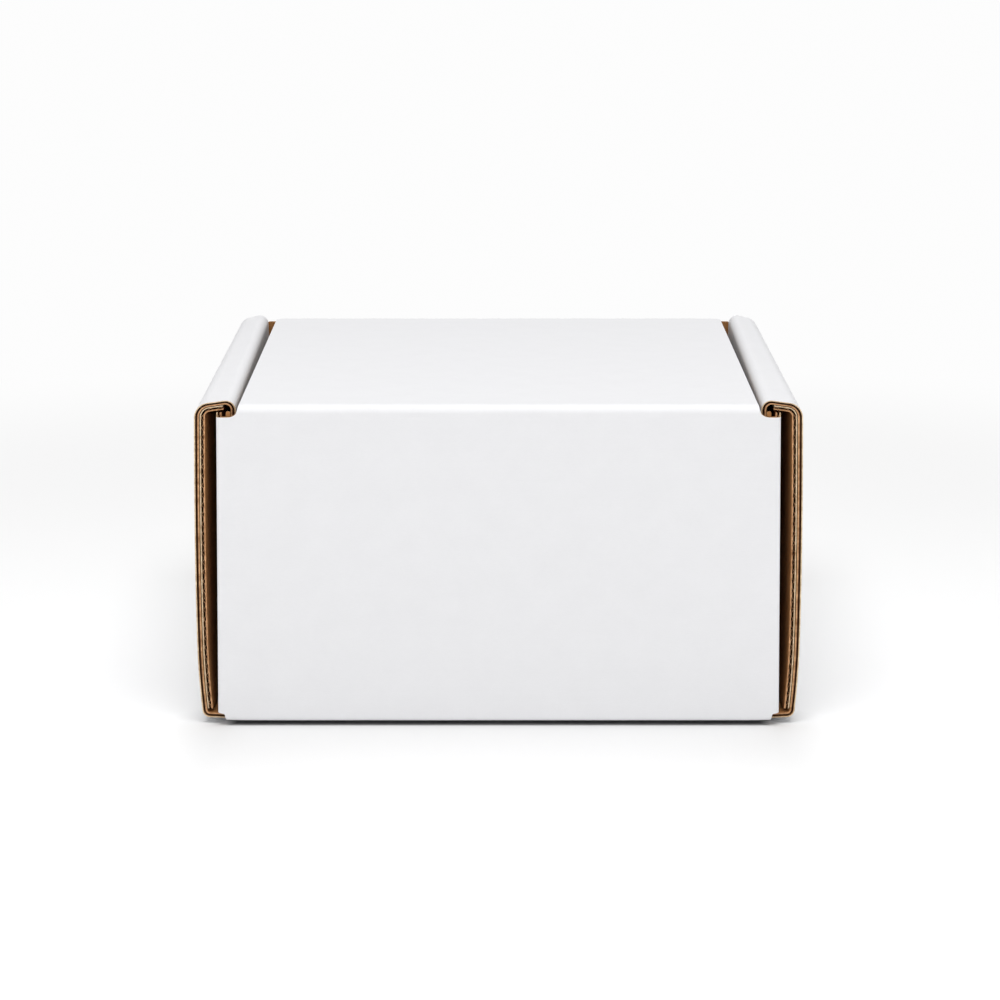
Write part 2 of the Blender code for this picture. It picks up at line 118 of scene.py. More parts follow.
# Facets
CORNER_STEPS = 10           # facets of each rounded corner
FOLD_STEP = radians(9)      # largest turn between two facets of a crease
BOW_STEPS = 16              # facets up the side walls, which carry their bow
LONG_STEPS = 12             # facets along them, which carry their taper, and over the lid
SAG_STEPS = 4               # facets over the rise of the floor panel
SMOOTH_TURN = radians(34)   # facets that turn less than this are shaded smooth
FACET_TOUCH = 1e-7          # points closer than this are one
ROW_DIGITS = 9              # decimals of a metre that part two rows of a blank
CORNER_DIGITS = 8           # and two corners of its facets

# The hinge's fold, between the rear wall and the lid
BAND_FOOT = 0.0009          # reaches this far down the rear wall from the hinge cut
BAND_LID = 0.0006           # and this far onto the flat of the lid
BAND_STEP = 0.00016         # between its rows

# Finishes: the colour of each paper, and its darker shade
WHITE = (0.83, 0.83, 0.845, 1)
WHITE_SHADE = (0.80, 0.80, 0.815, 1)
KRAFT = (0.46, 0.22, 0.08, 1)
KRAFT_SHADE = (0.32, 0.14, 0.045, 1)
FLUTE_BROWN = (0.12, 0.045, 0.015, 1)
FLUTE_SHADE = (0.06, 0.02, 0.006, 1)
CREAM_EDGE = (0.90, 0.72, 0.49, 1)      # the white liner where it is cut
CREAM_SHADE = (0.45, 0.28, 0.14, 1)
KRAFT_EDGE = (0.80, 0.46, 0.23, 1)      # the kraft liner where it is cut
KRAFT_EDGE_SHADE = (0.30, 0.13, 0.05, 1)
FLUTE_EDGE = (0.60, 0.34, 0.18, 1)      # the fluted paper where it is cut
PAPER_GLOSS = 0.25          # paper mirrors half as much as plastic does
WHITE_ROUGHNESS = 0.5       # the white liner is coated
KRAFT_ROUGHNESS = 0.82
EDGE_ROUGHNESS = 0.9        # of the cut edges and the fluted paper
ROUGHNESS_SPREAD = 0.06     # the dark blots are this much rougher, and the light ones smoother
WHITE_MOTTLE = 0.5          # share of the blots in how the colour changes: the rest is fibres
KRAFT_MOTTLE = 0.3
EDGE_MOTTLE = 0.8
TONE_LOW = 0.3              # noise up to here has the darker shade
TONE_HIGH = 0.7             # and from here on the full colour
MOTTLE_SIZE = 0.011         # the uneven ink and board of the faces
MOTTLE_EDGE = 0.0024        # the crushed cut edges are mottled finer
MOTTLE_DETAIL = 3           # layers of finer and finer blots within the large ones
MOTTLE_CONTRAST = 0.6       # strength of each, against the one before
FIBRE_SIZE = 0.00035        # width of a paper fibre
FIBRE_STRETCH = 5           # how much longer than wide
FIBRE_DETAIL = 4            # layers of finer fibres, as for the blots
FIBRE_CONTRAST = 0.65
FIBRE_WANDER = 0.6          # how much the fibres curl
FLUTE_TELL = 0.000006       # how far the flutes show through the liners
FIBRE_TELL = 0.000004       # and the fibres

# The floor and the backdrop
FLOOR_SIZE = 24             # so large that its edge is out of sight
FLOOR_WHITE = (0.935, 0.935, 0.935)
# painted shadow: the floor's colour deep under the box
FLOOR_PAINTED_SHADOW = (0.2, 0.2, 0.2, 1)
BACKDROP = (0.98, 0.98, 0.98, 1)
UNDER_X = 0.0945            # painted shadow: the floor is dark under the box, out to here on both sides
UNDER_SOFT = 0.0035         # width of the painted shadow's edge
PAINTED_CONTACT_SHADE = 0.79        # painted shade: the floor's brightness right in front of the box
CONTACT_SIDE = 4            # that painted shade ends so many times sooner beside the box
CONTACT_REACH = 0.09        # how far in front of the box the painted shade reaches
FLOOR_NEAR = 0.3            # the floor takes light and shadow out to here
FLOOR_FAR = 0.62            # and is plain white from here on

# The light
SKY_TOP = 0.8               # strength of the light from straight above
SKY_EDGE = 0.2              # and from the horizon
TOP_LAMP_PLACE = (0, -0.6, 1.45)
TOP_LAMP_SIZE = (1.1, 0.8)
TOP_LAMP_WATTS = 13.9
SIDE_LAMP_OUT = 1.6         # the two side lamps stand this far left and right
SIDE_LAMP_BACK = 1.1        # this far towards the camera
SIDE_LAMP_UP = 0.45         # and this high
SIDE_LAMP_SIZE = (0.6, 1)
SIDE_LAMP_WATTS = 3.15

# The camera, as the straight edges in the photograph place it
CAMERA_BACK = 1.08679       # from the middle of the box
CAMERA_UP = 0.30564         # above the foot of its walls
CAMERA_DIP = 10.954         # degrees that it looks down
CAMERA_LENS = 107.55        # millimetres, as is the sensor
CAMERA_SENSOR = 36
CAMERA_SHIFT_X = 0.0015
CAMERA_SHIFT_Y = -0.1

QUARTER = pi / 2
OUTER_TURN = QUARTER - STRIP_SLOPE
INNER_TURN = QUARTER + STRIP_SLOPE
TUCK_TURN = QUARTER + TUCK_LEAN

# Across the box, from the inside out
INNER_FACE = INSIDE_WIDTH / 2
END_HALF = INNER_FACE + INNER_PINCH + CLEAR + FOLD_PLAY + 2 * BOARD
SIDE_KRAFT = END_HALF + END_FLARE + BOARD + 2 * CLEAR + FLAP_PLAY
LID_HALF = INNER_FACE - LID_PLAY

# The roll: its creases take up the rest of the strip's width
OUTER_CREASE_WIDTH = OUTER_RADIUS * (1 - cos(OUTER_TURN))
INNER_CREASE_WIDTH = INNER_RADIUS * (1 + cos(OUTER_TURN))
STRIP = (SIDE_KRAFT - INNER_FACE - BOARD - OUTER_CREASE_WIDTH - INNER_CREASE_WIDTH) / sin(OUTER_TURN)
STRIP_RISE = STRIP * cos(OUTER_TURN) + INNER_RADIUS * (1 - sin(OUTER_TURN))
ROLL_TOP = HEIGHT + ROLL_STAND
ROLL_CREASE = ROLL_TOP - STRIP_BOARD - OUTER_RADIUS * sin(OUTER_TURN) - STRIP_RISE
STRIP_OUTER = SIDE_KRAFT - OUTER_CREASE_WIDTH
STRIP_INNER = INNER_FACE + BOARD + INNER_CREASE_WIDTH

# The side of the tray's blank, from the floor panel's crease outwards
BASE_CREASE = SIDE_KRAFT - FOOT_PINCH - BASE_RADIUS
SIDE_FOOT = BOARD + BASE_RADIUS
PANEL_START = BASE_CREASE + BASE_RADIUS * QUARTER
PANEL_END = PANEL_START + ROLL_CREASE - SIDE_FOOT
STRIP_START = PANEL_END + OUTER_RADIUS * OUTER_TURN
STRIP_END = STRIP_START + STRIP
INNER_START = STRIP_END + INNER_RADIUS * INNER_TURN
INNER_TOP = ROLL_TOP - STRIP_BOARD - INNER_RADIUS
INNER_END = INNER_START + INNER_TOP - BOARD - CLEAR
TAB_END = INNER_END + BOARD
SIDE_END = DEPTH / 2 - BOARD - END_PLAY
SIDE_LENGTH = 2 * SIDE_END

# The ends of the tray's blank
WALL_CREASE = DEPTH / 2 - BOARD - END_RADIUS
WALL_FOOT = BOARD + END_RADIUS
WALL_START = WALL_CREASE + END_RADIUS * QUARTER
BASE_HALF = (END_HALF + END_FLARE - NOTCH) / (1 + END_FLARE / END_HALF)
FLAP_CREASE = END_HALF - BOARD - END_RADIUS
FLAP_START = FLAP_CREASE + END_RADIUS * QUARTER
FRONT_FLAP = WALL_CREASE + SIDE_END
FLANGE_RADIUS = OUTER_RADIUS - CLEAR - BOARD
FLANGE = STRIP - FLANGE_PLAY
FLAP_FOOT = SIDE_FOOT + CLEAR

# The sagging floor panel
FLAT_X = INNER_FACE - CLEAR - SAG_RUN
FLAT_Y = SIDE_END - SAG_RUN

# The hinge and the lid
HINGE_Z = HEIGHT - BOARD - HINGE_RADIUS
RELIEF_Z = HEIGHT - RELIEF_DROP
SHOULDER = RELIEF_Z - HINGE_RELIEF
HINGE_CREASE = DEPTH / 2 - BOARD - HINGE_RADIUS
HINGE_END = HINGE_CREASE + HINGE_RADIUS * QUARTER
TUCK_CREASE = DEPTH / 2 - BOARD - TUCK_PLAY - BOARD - TUCK_RADIUS
TUCK_START = TUCK_CREASE + TUCK_RADIUS * TUCK_TURN
TUCK_END = TUCK_START + TUCK_DEPTH
TUCK_HALF = LID_HALF - LID_CORNER - TUCK_STEP

# The hinge's fold, on the rear wall and on the lid's blank
BAND_BOTTOM = HINGE_Z - HINGE_CUT - BAND_FOOT
BAND_FIRST = -HINGE_END - HINGE_CUT - BAND_FOOT
BAND_LAST = -HINGE_CREASE + BAND_LID


def wall_v(height):
    """Where a height on an end wall lies on the flat blank, from the middle of the floor panel."""
    return WALL_START + height - WALL_FOOT


def clamp(value):
    return min(max(value, 0.0), 1.0)


def evenly(first, last, steps):
    """Places at even steps, with both ends."""
    return [first + (last - first) * step / steps for step in range(steps + 1)]


def bow(height):
    """How far the outer side panel bows out at this height."""
    return BOW * sin(pi * clamp(height / ROLL_CREASE))


def lean(height):
    """How far the outer side panel stands out at this height, its foot's pinch included."""
    return bow(height) - FOOT_PINCH * clamp(1 - (height - SIDE_FOOT) / FOOT_RUN) ** 2


def end_spread(height):
    """How much wider the end walls are at this height than at their top."""
    return 1 + END_FLARE / END_HALF * clamp(1 - height / HEIGHT)


# Outlines of the blanks

def rounded(corners):
    """The outline through corners given as (u, v, radius), each rounded by its own arc."""
    points = []
    for index, (u, v, radius) in enumerate(corners):
        corner = Vector((u, v))
        if not radius:
            points.append(corner)
            continue
        back = (Vector(corners[index - 1][:2]) - corner).normalized()
        ahead = (Vector(corners[(index + 1) % len(corners)][:2]) - corner).normalized()
        half = back.angle(ahead) / 2
        centre = corner + (back + ahead).normalized() * radius / sin(half)
        start = corner + back * radius / tan(half) - centre
        sweep = pi - 2 * half
        if back.cross(ahead) > 0:
            sweep = -sweep
        for step in range(CORNER_STEPS + 1):
            points.append(centre + Matrix.Rotation(sweep * step / CORNER_STEPS, 2) @ start)
    return points


def hinge_relief(height):
    """Half the width of the hinge at a height inside its hollow corners."""
    rise = min(RELIEF_Z - height, HINGE_RELIEF)
    return LID_HALF + HINGE_RELIEF - sqrt(HINGE_RELIEF ** 2 - max(rise, 0) ** 2)


def wall_outline(with_ear):
    """Right half of the rear wall with its flap, from under the hinge's fold to the side panel."""
    shoulder = -wall_v(SHOULDER)
    near = hinge_relief(BAND_BOTTOM)
    relief = [(near, -wall_v(BAND_BOTTOM), 0)]
    if with_ear:
        far = near + EAR_WIDTH
        top = -wall_v(SHOULDER + EAR_HEIGHT)
        relief += [(near, top, EAR_CORNER), (far, top, EAR_CORNER), (far, shoulder, 0)]
    else:
        relief.append((hinge_relief(SHOULDER), shoulder, 0))
    relief.append((FLAP_START, shoulder, 0))
    flap_top = -wall_v(SHOULDER + FLAP_RISE)
    flap_foot = -wall_v(FLAP_FOOT)
    flap_end = FLAP_START + REAR_FLAP
    flap = [
        (FLAP_START, flap_top, 0),
        (flap_end, flap_top + FLAP_CORNER, FLAP_CORNER),
        (flap_end, flap_foot - FLAP_CORNER, FLAP_CORNER),
        (FLAP_START, flap_foot, 0),
    ]
    notch = [(FLAP_CREASE, -WALL_START, 0), (BASE_HALF, -WALL_CREASE, 0), (BASE_HALF, -SIDE_END, CLEAR)]
    return relief + flap + notch


def front_end():
    """Right half of the front wall with its long flap and flange, from the side panel to the middle."""
    flap_top = wall_v(ROLL_CREASE)
    flap_foot = wall_v(FLAP_FOOT)
    flap_end = FLAP_START + FRONT_FLAP
    flange_start = FLAP_START + FLANGE_START
    flange_root = flap_top + FLANGE_RADIUS * OUTER_TURN
    notch = [(BASE_HALF, SIDE_END, CLEAR), (BASE_HALF, WALL_CREASE, 0), (FLAP_CREASE, WALL_START, 0)]
    flap = [
        (FLAP_START, flap_foot, 0),
        (flap_end, flap_foot, FOOT_CORNER),
        (flap_end, flange_root + FLANGE, 0),
        (flange_start, flange_root + FLANGE_NOSE, 0),
        (flange_start, flap_top, 0),
        (FLAP_START, flap_top, 0),
    ]
    top = wall_v(HEIGHT - FRONT_DROP)
    edge = [(FLAP_CREASE, wall_v(SHOULDER), 0), (FLAP_CREASE - BOARD, top, BOARD)]
    return notch + flap + edge


def side_panels():
    """The right side of the blank, from rear to front: outer panel, strip, inner panel and tabs."""
    corners = [(INNER_END, -SIDE_END, FLAP_CORNER)]
    for middle in (-TAB_SPACING / 2, TAB_SPACING / 2):
        first = middle - TAB_WIDTH / 2
        last = middle + TAB_WIDTH / 2
        corners += [(INNER_END, first, 0), (TAB_END, first, TAB_CORNER)]
        corners += [(TAB_END, last, TAB_CORNER), (INNER_END, last, 0)]
    return corners + [(INNER_END, SIDE_END, FLAP_CORNER)]


def both_halves(right):
    """An outline's right half, with its mirrored copy as the left half."""
    return right + [(-u, v, radius) for u, v, radius in reversed(right)]


def lock_slots():
    """The slots in the floor panel, which the tabs fill but for a clearance."""
    slots = []
    for side in (-1, 1):
        for middle in (-TAB_SPACING / 2, TAB_SPACING / 2):
            near = INNER_FACE - CLEAR
            far = INNER_FACE + BOARD + CLEAR
            half = TAB_WIDTH / 2 + CLEAR
            corners = [(side * near, middle - half), (side * far, middle - half)]
            corners += [(side * far, middle + half), (side * near, middle + half)]
            slots.append([Vector(corner) for corner in corners])
    return slots


def lid_outline():
    """Right half of the lid's blank, from past the hinge's fold to the edge of the tuck flap."""
    return [
        (LID_HALF, BAND_LAST, 0),
        (LID_HALF, TUCK_CREASE, LID_CORNER),
        (TUCK_HALF, TUCK_CREASE, 0),
        (TUCK_HALF, TUCK_START, 0),
        (TUCK_HALF - TUCK_TAPER, TUCK_END, TUCK_CORNER),
    ]


def band_outline(rows):
    """Right half of the hinge's fold, on the lid's blank run on down the rear wall."""
    return [(hinge_relief(HINGE_Z + HINGE_END + row), row, 0) for row in rows]


def crease_places(start, radius, turn):
    """Where a crease is scored, so that it folds in even facets."""
    steps = ceil(turn / FOLD_STEP)
    return [start + radius * turn * step / steps for step in range(steps + 1)]


def both_ways(places):
    """Places to both sides of the middle."""
    return [side * place for side in (-1, 1) for place in places]


# Flat layers

def clipped(polygon, place, way):
    """What of a polygon lies past a place across the blank, on the side that way points to."""
    kept = []
    for index, (u, v) in enumerate(polygon):
        last_u, last_v = polygon[index - 1]
        inside = way * (u - place) >= 0
        if inside != (way * (last_u - place) >= 0):
            share = (place - last_u) / (u - last_u)
            kept.append((place, last_v + (v - last_v) * share))
        if inside:
            kept.append((u, v))
    return kept


def spans(loops, low, high):
    """The pieces of the blank between two rows, each bounded by two edges of its outline."""
    middle = (low + high) / 2
    sides = []
    for loop in loops:
        for index, (u, v) in enumerate(loop):
            last_u, last_v = loop[index - 1]
            if (v > middle) == (last_v > middle):
                continue
            slope = (u - last_u) / (v - last_v)
            sides.append([last_u + (row - last_v) * slope for row in (low, middle, high)])
    sides.sort(key=lambda side: side[1])
    return [(sides[index], sides[index + 1]) for index in range(0, len(sides), 2)]


def cut_cells(loops, rows, columns):
    """The outline cut into small cells along its rows and along the columns of each row."""
    ends = [v for loop in loops for _, v in loop]
    levels = sorted({round(row, ROW_DIGITS) for row in [*ends, *rows]})
    apart = [row for last, row in zip(levels, levels[1:]) if row - last > FACET_TOUCH]
    levels = [levels[0], *apart]
    cells = []
    for low, high in zip(levels, levels[1:]):
        for left, right in spans(loops, low, high):
            rest = [(left[0], low), (right[0], low), (right[2], high), (left[2], high)]
            for place in columns((low + high) / 2):
                if min(left[0], left[2]) + FACET_TOUCH < place < max(right[0], right[2]) - FACET_TOUCH:
                    cells.append(clipped(rest, place, -1))
                    rest = clipped(rest, place, 1)
            cells.append(rest)
    return [cell for cell in cells if len(cell) > 2]


def near_edge(cells, loops, reach):
    """The cells whose middle lies within reach of the outline."""
    starts = np.array([loop[index - 1] for loop in loops for index in range(len(loop))])
    ends = np.array([point for loop in loops for point in loop])
    runs = ends - starts
    squares = np.maximum((runs ** 2).sum(axis=1), FACET_TOUCH ** 2)
    kept = []
    for cell in cells:
        middle = np.mean(cell, axis=0)
        share = np.clip(((middle - starts) * runs).sum(axis=1) / squares, 0, 1)
        gap = np.sqrt(((starts + runs * share[:, None] - middle) ** 2).sum(axis=1)).min()
        if gap < reach:
            kept.append(cell)
    return kept


def layer(cells, low, high, slots):
    """A closed layer between two depths in the board, its slots for outer face, inner face and cut."""
    sheet = bmesh.new()
    corners = {}
    for cell in cells:
        ring = []
        for u, v in cell:
            key = (round(u, CORNER_DIGITS), round(v, CORNER_DIGITS))
            if key not in corners:
                corners[key] = sheet.verts.new((u, v, low))
            if corners[key] not in ring:
                ring.append(corners[key])
        if len(ring) > 2 and not sheet.faces.get(ring):
            sheet.faces.new(ring)
    raised = bmesh.ops.extrude_face_region(sheet, geom=sheet.faces[:], use_keep_orig=True)["geom"]
    raised_corners = [part for part in raised if isinstance(part, bmesh.types.BMVert)]
    bmesh.ops.translate(sheet, verts=raised_corners, vec=(0, 0, high - low))
    bmesh.ops.recalc_face_normals(sheet, faces=sheet.faces[:])
    blank = sheet.loops.layers.uv.new("blank")
    middle = (low + high) / 2
    outer_slot, inner_slot, cut_slot = slots
    for face in sheet.faces:
        above = [corner.co.z > middle for corner in face.verts]
        if all(above):
            face.material_index = outer_slot
        elif any(above):
            face.material_index = cut_slot
        else:
            face.material_index = inner_slot
        for loop in face.loops:
            loop[blank].uv = loop.vert.co.xy
    return sheet


def plain_mesh(name, sheet, materials):
    """An object made of a flat sheet, with its materials."""
    mesh = bpy.data.meshes.new(name)
    sheet.to_mesh(mesh)
    sheet.free()
    for material in materials:
        mesh.materials.append(material)
    piece = bpy.data.objects.new(name, mesh)
    bpy.context.scene.collection.objects.link(piece)
    return piece


# Folding

def on_front_flap(flat):
    """Whether a point of the tray's blank is on one of the front wall's long flaps."""
    return flat.y > 0 and abs(flat.x) > FLAP_START


def fullness(angle, power):
    """How far out a crease stands at an angle, against a round one: a higher power is squarer."""
    return (cos(angle) ** power + sin(angle) ** power) ** (-1 / power)


def bend(place, flat, axis, start, turn, radius, power=2):
    """Fold what lies past a crease, on either side of the middle, by a turn towards the kraft face.

    Both points are (u, v, w), with w measured outwards from the flat board's kraft face: the flat
    one says what lies past the crease, and the placed one already holds the folds further out.
    """
    way = 1 if flat[axis] > 0 else -1
    past = way * flat[axis] - start
    if past <= 0:
        return place
    angle = turn * min(past / (radius * turn), 1)
    beyond = way * place[axis] - start - radius * angle
    outwards = (radius + place[2]) * (fullness(angle, power) if power > 2 else 1)
    folded = Vector(place)
    folded[axis] = way * (start + outwards * sin(angle) + beyond * cos(angle))
    folded[2] = outwards * cos(angle) - beyond * sin(angle) - radius
    return folded


def press_strip(flat):
    """Thin the board from its white face, between the two creases of the roll."""
    reach = abs(flat.x)
    pressed = clamp((reach - PANEL_END) / (STRIP_START - PANEL_END))
    pressed -= clamp((reach - STRIP_END) / (INNER_START - STRIP_END))
    return Vector((flat.x, flat.y, flat.z * (1 - pressed * (1 - STRIP_BOARD / BOARD))))


def press_flange(flat):
    """Thin the board from its kraft face, past the crease of the flange."""
    crease = wall_v(ROLL_CREASE)
    pressed = clamp((flat.y - crease) / (FLANGE_RADIUS * OUTER_TURN))
    return Vector((flat.x, flat.y, BOARD - (BOARD - flat.z) * (1 - pressed * (1 - FLANGE_BOARD / BOARD))))


def fold_side(flat):
    """Fold the strip and the inner panel over, then stand the outer panel up."""
    place = bend(press_strip(flat), flat, 0, STRIP_END, INNER_TURN, INNER_RADIUS)
    place = bend(place, flat, 0, PANEL_END, OUTER_TURN, OUTER_RADIUS)
    return bend(place, flat, 0, BASE_CREASE, QUARTER, BASE_RADIUS)


def fold_end(flat):
    """Fold the flaps in, the front ones with their flange first, then stand the wall up."""
    place = flat
    if on_front_flap(flat):
        place = bend(press_flange(flat), flat, 1, wall_v(ROLL_CREASE), OUTER_TURN, FLANGE_RADIUS)
    place = bend(place, flat, 0, FLAP_CREASE, QUARTER, END_RADIUS, TIGHT)
    return bend(place, flat, 1, WALL_CREASE, QUARTER, END_RADIUS, TIGHT)


def settle_side(place):
    """Bow the outer panel out, and narrow the roll towards the front."""
    side = 1 if place.x > 0 else -1
    reach = abs(place.x) + FOOT_PINCH
    ahead = clamp((place.y + SIDE_END) / SIDE_LENGTH)
    rise = place.z / HEIGHT
    inwards = clamp((STRIP_OUTER - reach) / (STRIP_OUTER - STRIP_INNER))
    outer = lean(place.z) - OUTER_PINCH * ahead * rise
    inner = INNER_PINCH * ahead * rise
    place.x = side * (reach + outer * (1 - inwards) + inner * inwards)
    return place


def settle_end(place, on_long_flap):
    """Spread the end walls towards the floor, and lay the long flaps against the outer panels."""
    spread = end_spread(place.z)
    place.x *= spread
    if on_long_flap:
        side = 1 if place.x > 0 else -1
        back = clamp((WALL_CREASE - place.y) / FRONT_FLAP)
        place.x += side * back * (SIDE_KRAFT + lean(place.z) - CLEAR - END_HALF * spread)
    return place


def settle_floor(place):
    """Let the floor panel sag, and draw its creases up: what stands around its middle is lifted."""
    across = clamp((abs(place.x) - FLAT_X) / SAG_RUN)
    along = clamp((abs(place.y) - FLAT_Y) / SAG_RUN)
    outwards = clamp((abs(place.x) - INNER_FACE) / (BASE_CREASE - INNER_FACE))
    drawn_up = outwards * clamp(1 - place.z / FOOT_RUN)
    place.z += SAG * max(across, along) + FOOT_LIFT * drawn_up
    return place


def tray_place(flat):
    """Where a point of the tray's flat blank ends up in the folded box."""
    at_end = abs(flat.y) > SIDE_END + FACET_TOUCH
    folded = fold_end(flat) if at_end else fold_side(flat)
    place = Vector((folded[0], folded[1], BOARD - folded[2]))
    if at_end:
        place = settle_end(place, on_front_flap(flat))
    elif abs(flat.x) > BASE_CREASE:
        place = settle_side(place)
    return settle_floor(place)


def lid_place(flat):
    """Where a point of the lid's flat blank ends up on the closed box."""
    if flat.y > 0:
        folded = bend(flat, flat, 1, TUCK_CREASE, TUCK_TURN, TUCK_RADIUS)
    else:
        folded = bend(flat, flat, 1, HINGE_CREASE, QUARTER, HINGE_RADIUS)
    return Vector((folded[0], folded[1], SAG + HEIGHT - BOARD + folded[2]))


def fold_up(piece, placed):
    """Fold a flat piece and shade its folds smooth."""
    board = bmesh.new()
    board.from_mesh(piece.data)
    for corner in board.verts:
        corner.co = placed(corner.co.copy())
    if board.calc_volume(signed=True) < 0:
        bmesh.ops.reverse_faces(board, faces=board.faces[:])
    board.to_mesh(piece.data)
    board.free()
    piece.data.shade_smooth()
    piece.data.set_sharp_from_angle(angle=SMOOTH_TURN)
    return piece


# Nodes

def put(tree, kind, inputs=(), **settings):
    """A new node, with its settings, and its inputs linked to sockets or set to values."""
    made = tree.nodes.new(kind)
    for name, value in settings.items():
        setattr(made, name, value)
    for key, value in dict(inputs).items():
        if isinstance(value, bpy.types.NodeSocket):
            tree.links.new(value, made.inputs[key])
        else:
            made.inputs[key].default_value = value
    return made


def sums(tree, operation, *values):
    """What a math node makes of its values, each of them a socket or a number."""
    return put(tree, "ShaderNodeMath", enumerate(values), operation=operation).outputs[0]


def add_sockets(tree, in_out, socket_type, names):
    """Named inputs or outputs of one kind on a group of nodes."""
    for name in names:
        tree.interface.new_socket(name, in_out=in_out, socket_type=socket_type)


# The flutes

def flute_tree():
    """Waves a flat sheet of paper up and down across the flutes."""
    tree = bpy.data.node_groups.new("flutes", "GeometryNodeTree")
    add_sockets(tree, "INPUT", "NodeSocketGeometry", ["Geometry"])
    add_sockets(tree, "INPUT", "NodeSocketFloat", ["Pitch", "Height", "Start", "Crush"])
    add_sockets(tree, "INPUT", "NodeSocketMaterial", ["Paper", "Cut Edge"])
    add_sockets(tree, "OUTPUT", "NodeSocketGeometry", ["Geometry"])
    given = put(tree, "NodeGroupInput").outputs
    place = put(tree, "GeometryNodeInputPosition").outputs[0]
    across = put(tree, "ShaderNodeSeparateXYZ", {0: place}).outputs["Y"]
    flutes = sums(tree, "DIVIDE", sums(tree, "SUBTRACT", across, given["Start"]), given["Pitch"])
    wave = sums(tree, "COSINE", sums(tree, "MULTIPLY", flutes, 2 * pi))
    # The wave is taken to between 0 and 1, where a power narrows its crests, and back to -1 and 1
    crest = sums(tree, "POWER", sums(tree, "MULTIPLY_ADD", wave, 0.5, 0.5), given["Crush"])
    wave = sums(tree, "MULTIPLY_ADD", crest, 2, -1)
    rise = sums(tree, "MULTIPLY", wave, given["Height"])
    lift = put(tree, "ShaderNodeCombineXYZ", {"Z": rise}).outputs[0]
    moved = put(tree, "GeometryNodeSetPosition", {"Geometry": given["Geometry"], "Offset": lift})
    real = put(tree, "GeometryNodeRealizeInstances", {0: moved.outputs[0]}).outputs[0]
    paint = put(tree, "GeometryNodeSetMaterial", {"Geometry": real, "Material": given["Paper"]})
    cut = put(tree, "GeometryNodeInputNamedAttribute", {"Name": "cut"}, data_type="BOOLEAN")
    edge = put(tree, "GeometryNodeSetMaterial", {
        "Geometry": paint.outputs[0],
        "Selection": cut.outputs["Attribute"],
        "Material": given["Cut Edge"],
    })
    put(tree, "NodeGroupOutput", {0: edge.outputs[0]})
    return tree


def run_flutes(piece, tree, flute, flute_edge):
    """Wave a flat sheet, and keep the result as a plain mesh."""
    wave = piece.modifiers.new("flutes", "NODES")
    wave.node_group = tree
    given = {
        "Pitch": FLUTE_PITCH,
        "Height": (BOARD - 2 * LINER - MEDIUM) / 2,
        "Start": -SIDE_END + FLUTE_PITCH / 2,
        "Crush": FLUTE_CRUSH,
        "Paper": flute,
        "Cut Edge": flute_edge,
    }
    for socket in tree.interface.items_tree:
        if socket.in_out == "INPUT" and socket.name in given:
            wave[socket.identifier] = given[socket.name]
    scene_graph = bpy.context.evaluated_depsgraph_get()
    mesh = bpy.data.meshes.new_from_object(piece.evaluated_get(scene_graph))
    piece.modifiers.remove(wave)
    piece.data = mesh
    return piece


# The pieces

def tray_rows():
    """Rows across the tray's blank: the end walls' creases, the sag, and what bends the flaps."""
    rows = both_ways([SIDE_END, *crease_places(WALL_CREASE, END_RADIUS, QUARTER)])
    rows += both_ways(evenly(FLAT_Y, SIDE_END, SAG_STEPS))
    rows += [wall_v(height) for height in evenly(SIDE_FOOT, ROLL_CREASE, BOW_STEPS)]
    rows += crease_places(wall_v(ROLL_CREASE), FLANGE_RADIUS, OUTER_TURN)
    return rows + evenly(-SIDE_END, SIDE_END, LONG_STEPS)


def tray_columns(row):
    """Columns along the tray's blank at a row: the folds of the side walls, or of the flaps."""
    places = evenly(FLAT_X, FLAT_X + SAG_RUN, SAG_STEPS)
    if abs(row) < SIDE_END:
        places += crease_places(BASE_CREASE, BASE_RADIUS, QUARTER)
        heights = evenly(SIDE_FOOT, ROLL_CREASE, BOW_STEPS)
        places += [PANEL_START + height - SIDE_FOOT for height in heights]
        places += crease_places(PANEL_END, OUTER_RADIUS, OUTER_TURN)
        places += crease_places(STRIP_END, INNER_RADIUS, INNER_TURN)
    elif abs(row) > WALL_START:
        places += crease_places(FLAP_CREASE, END_RADIUS, QUARTER)
        depths = evenly(-SIDE_END, SIDE_END, LONG_STEPS)
        places += [FLAP_START + WALL_CREASE - depth for depth in depths]
    return sorted(both_ways(places))


def lid_rows():
    """Rows across the lid's blank: the tuck flap's crease and even steps over the flat."""
    tuck = crease_places(TUCK_CREASE, TUCK_RADIUS, TUCK_TURN)
    return tuck + evenly(-SIDE_END, TUCK_CREASE, LONG_STEPS)


def lid_columns(row):
    """Columns along the lid's blank, which are the same at every row."""
    return evenly(-LID_HALF, LID_HALF, LONG_STEPS)


def loops_of(half, holes=()):
    """An outline's points all round, from the corners of its right half, and those of its holes."""
    outline = rounded(both_halves(half))
    return [[tuple(point) for point in loop] for loop in [outline, *holes]]


def flute_cells(loops, rows, columns):
    """Cells of the fluted paper along the cut edges, with rows fine enough for its waves."""
    edges = [v for loop in loops for _, v in loop]
    step = FLUTE_PITCH / FLUTE_ROWS
    first = -SIDE_END + step * ceil((min(edges) + SIDE_END) / step)
    waves = [first + step * row for row in range(ceil((max(edges) - first) / step))]

    def fine_columns(row):
        return sorted(set(columns(row)) | set(evenly(-SHEET_REACH, SHEET_REACH, SHEET_COLUMNS)))

    return near_edge(cut_cells(loops, rows + waves, fine_columns), loops, FLUTE_REACH)


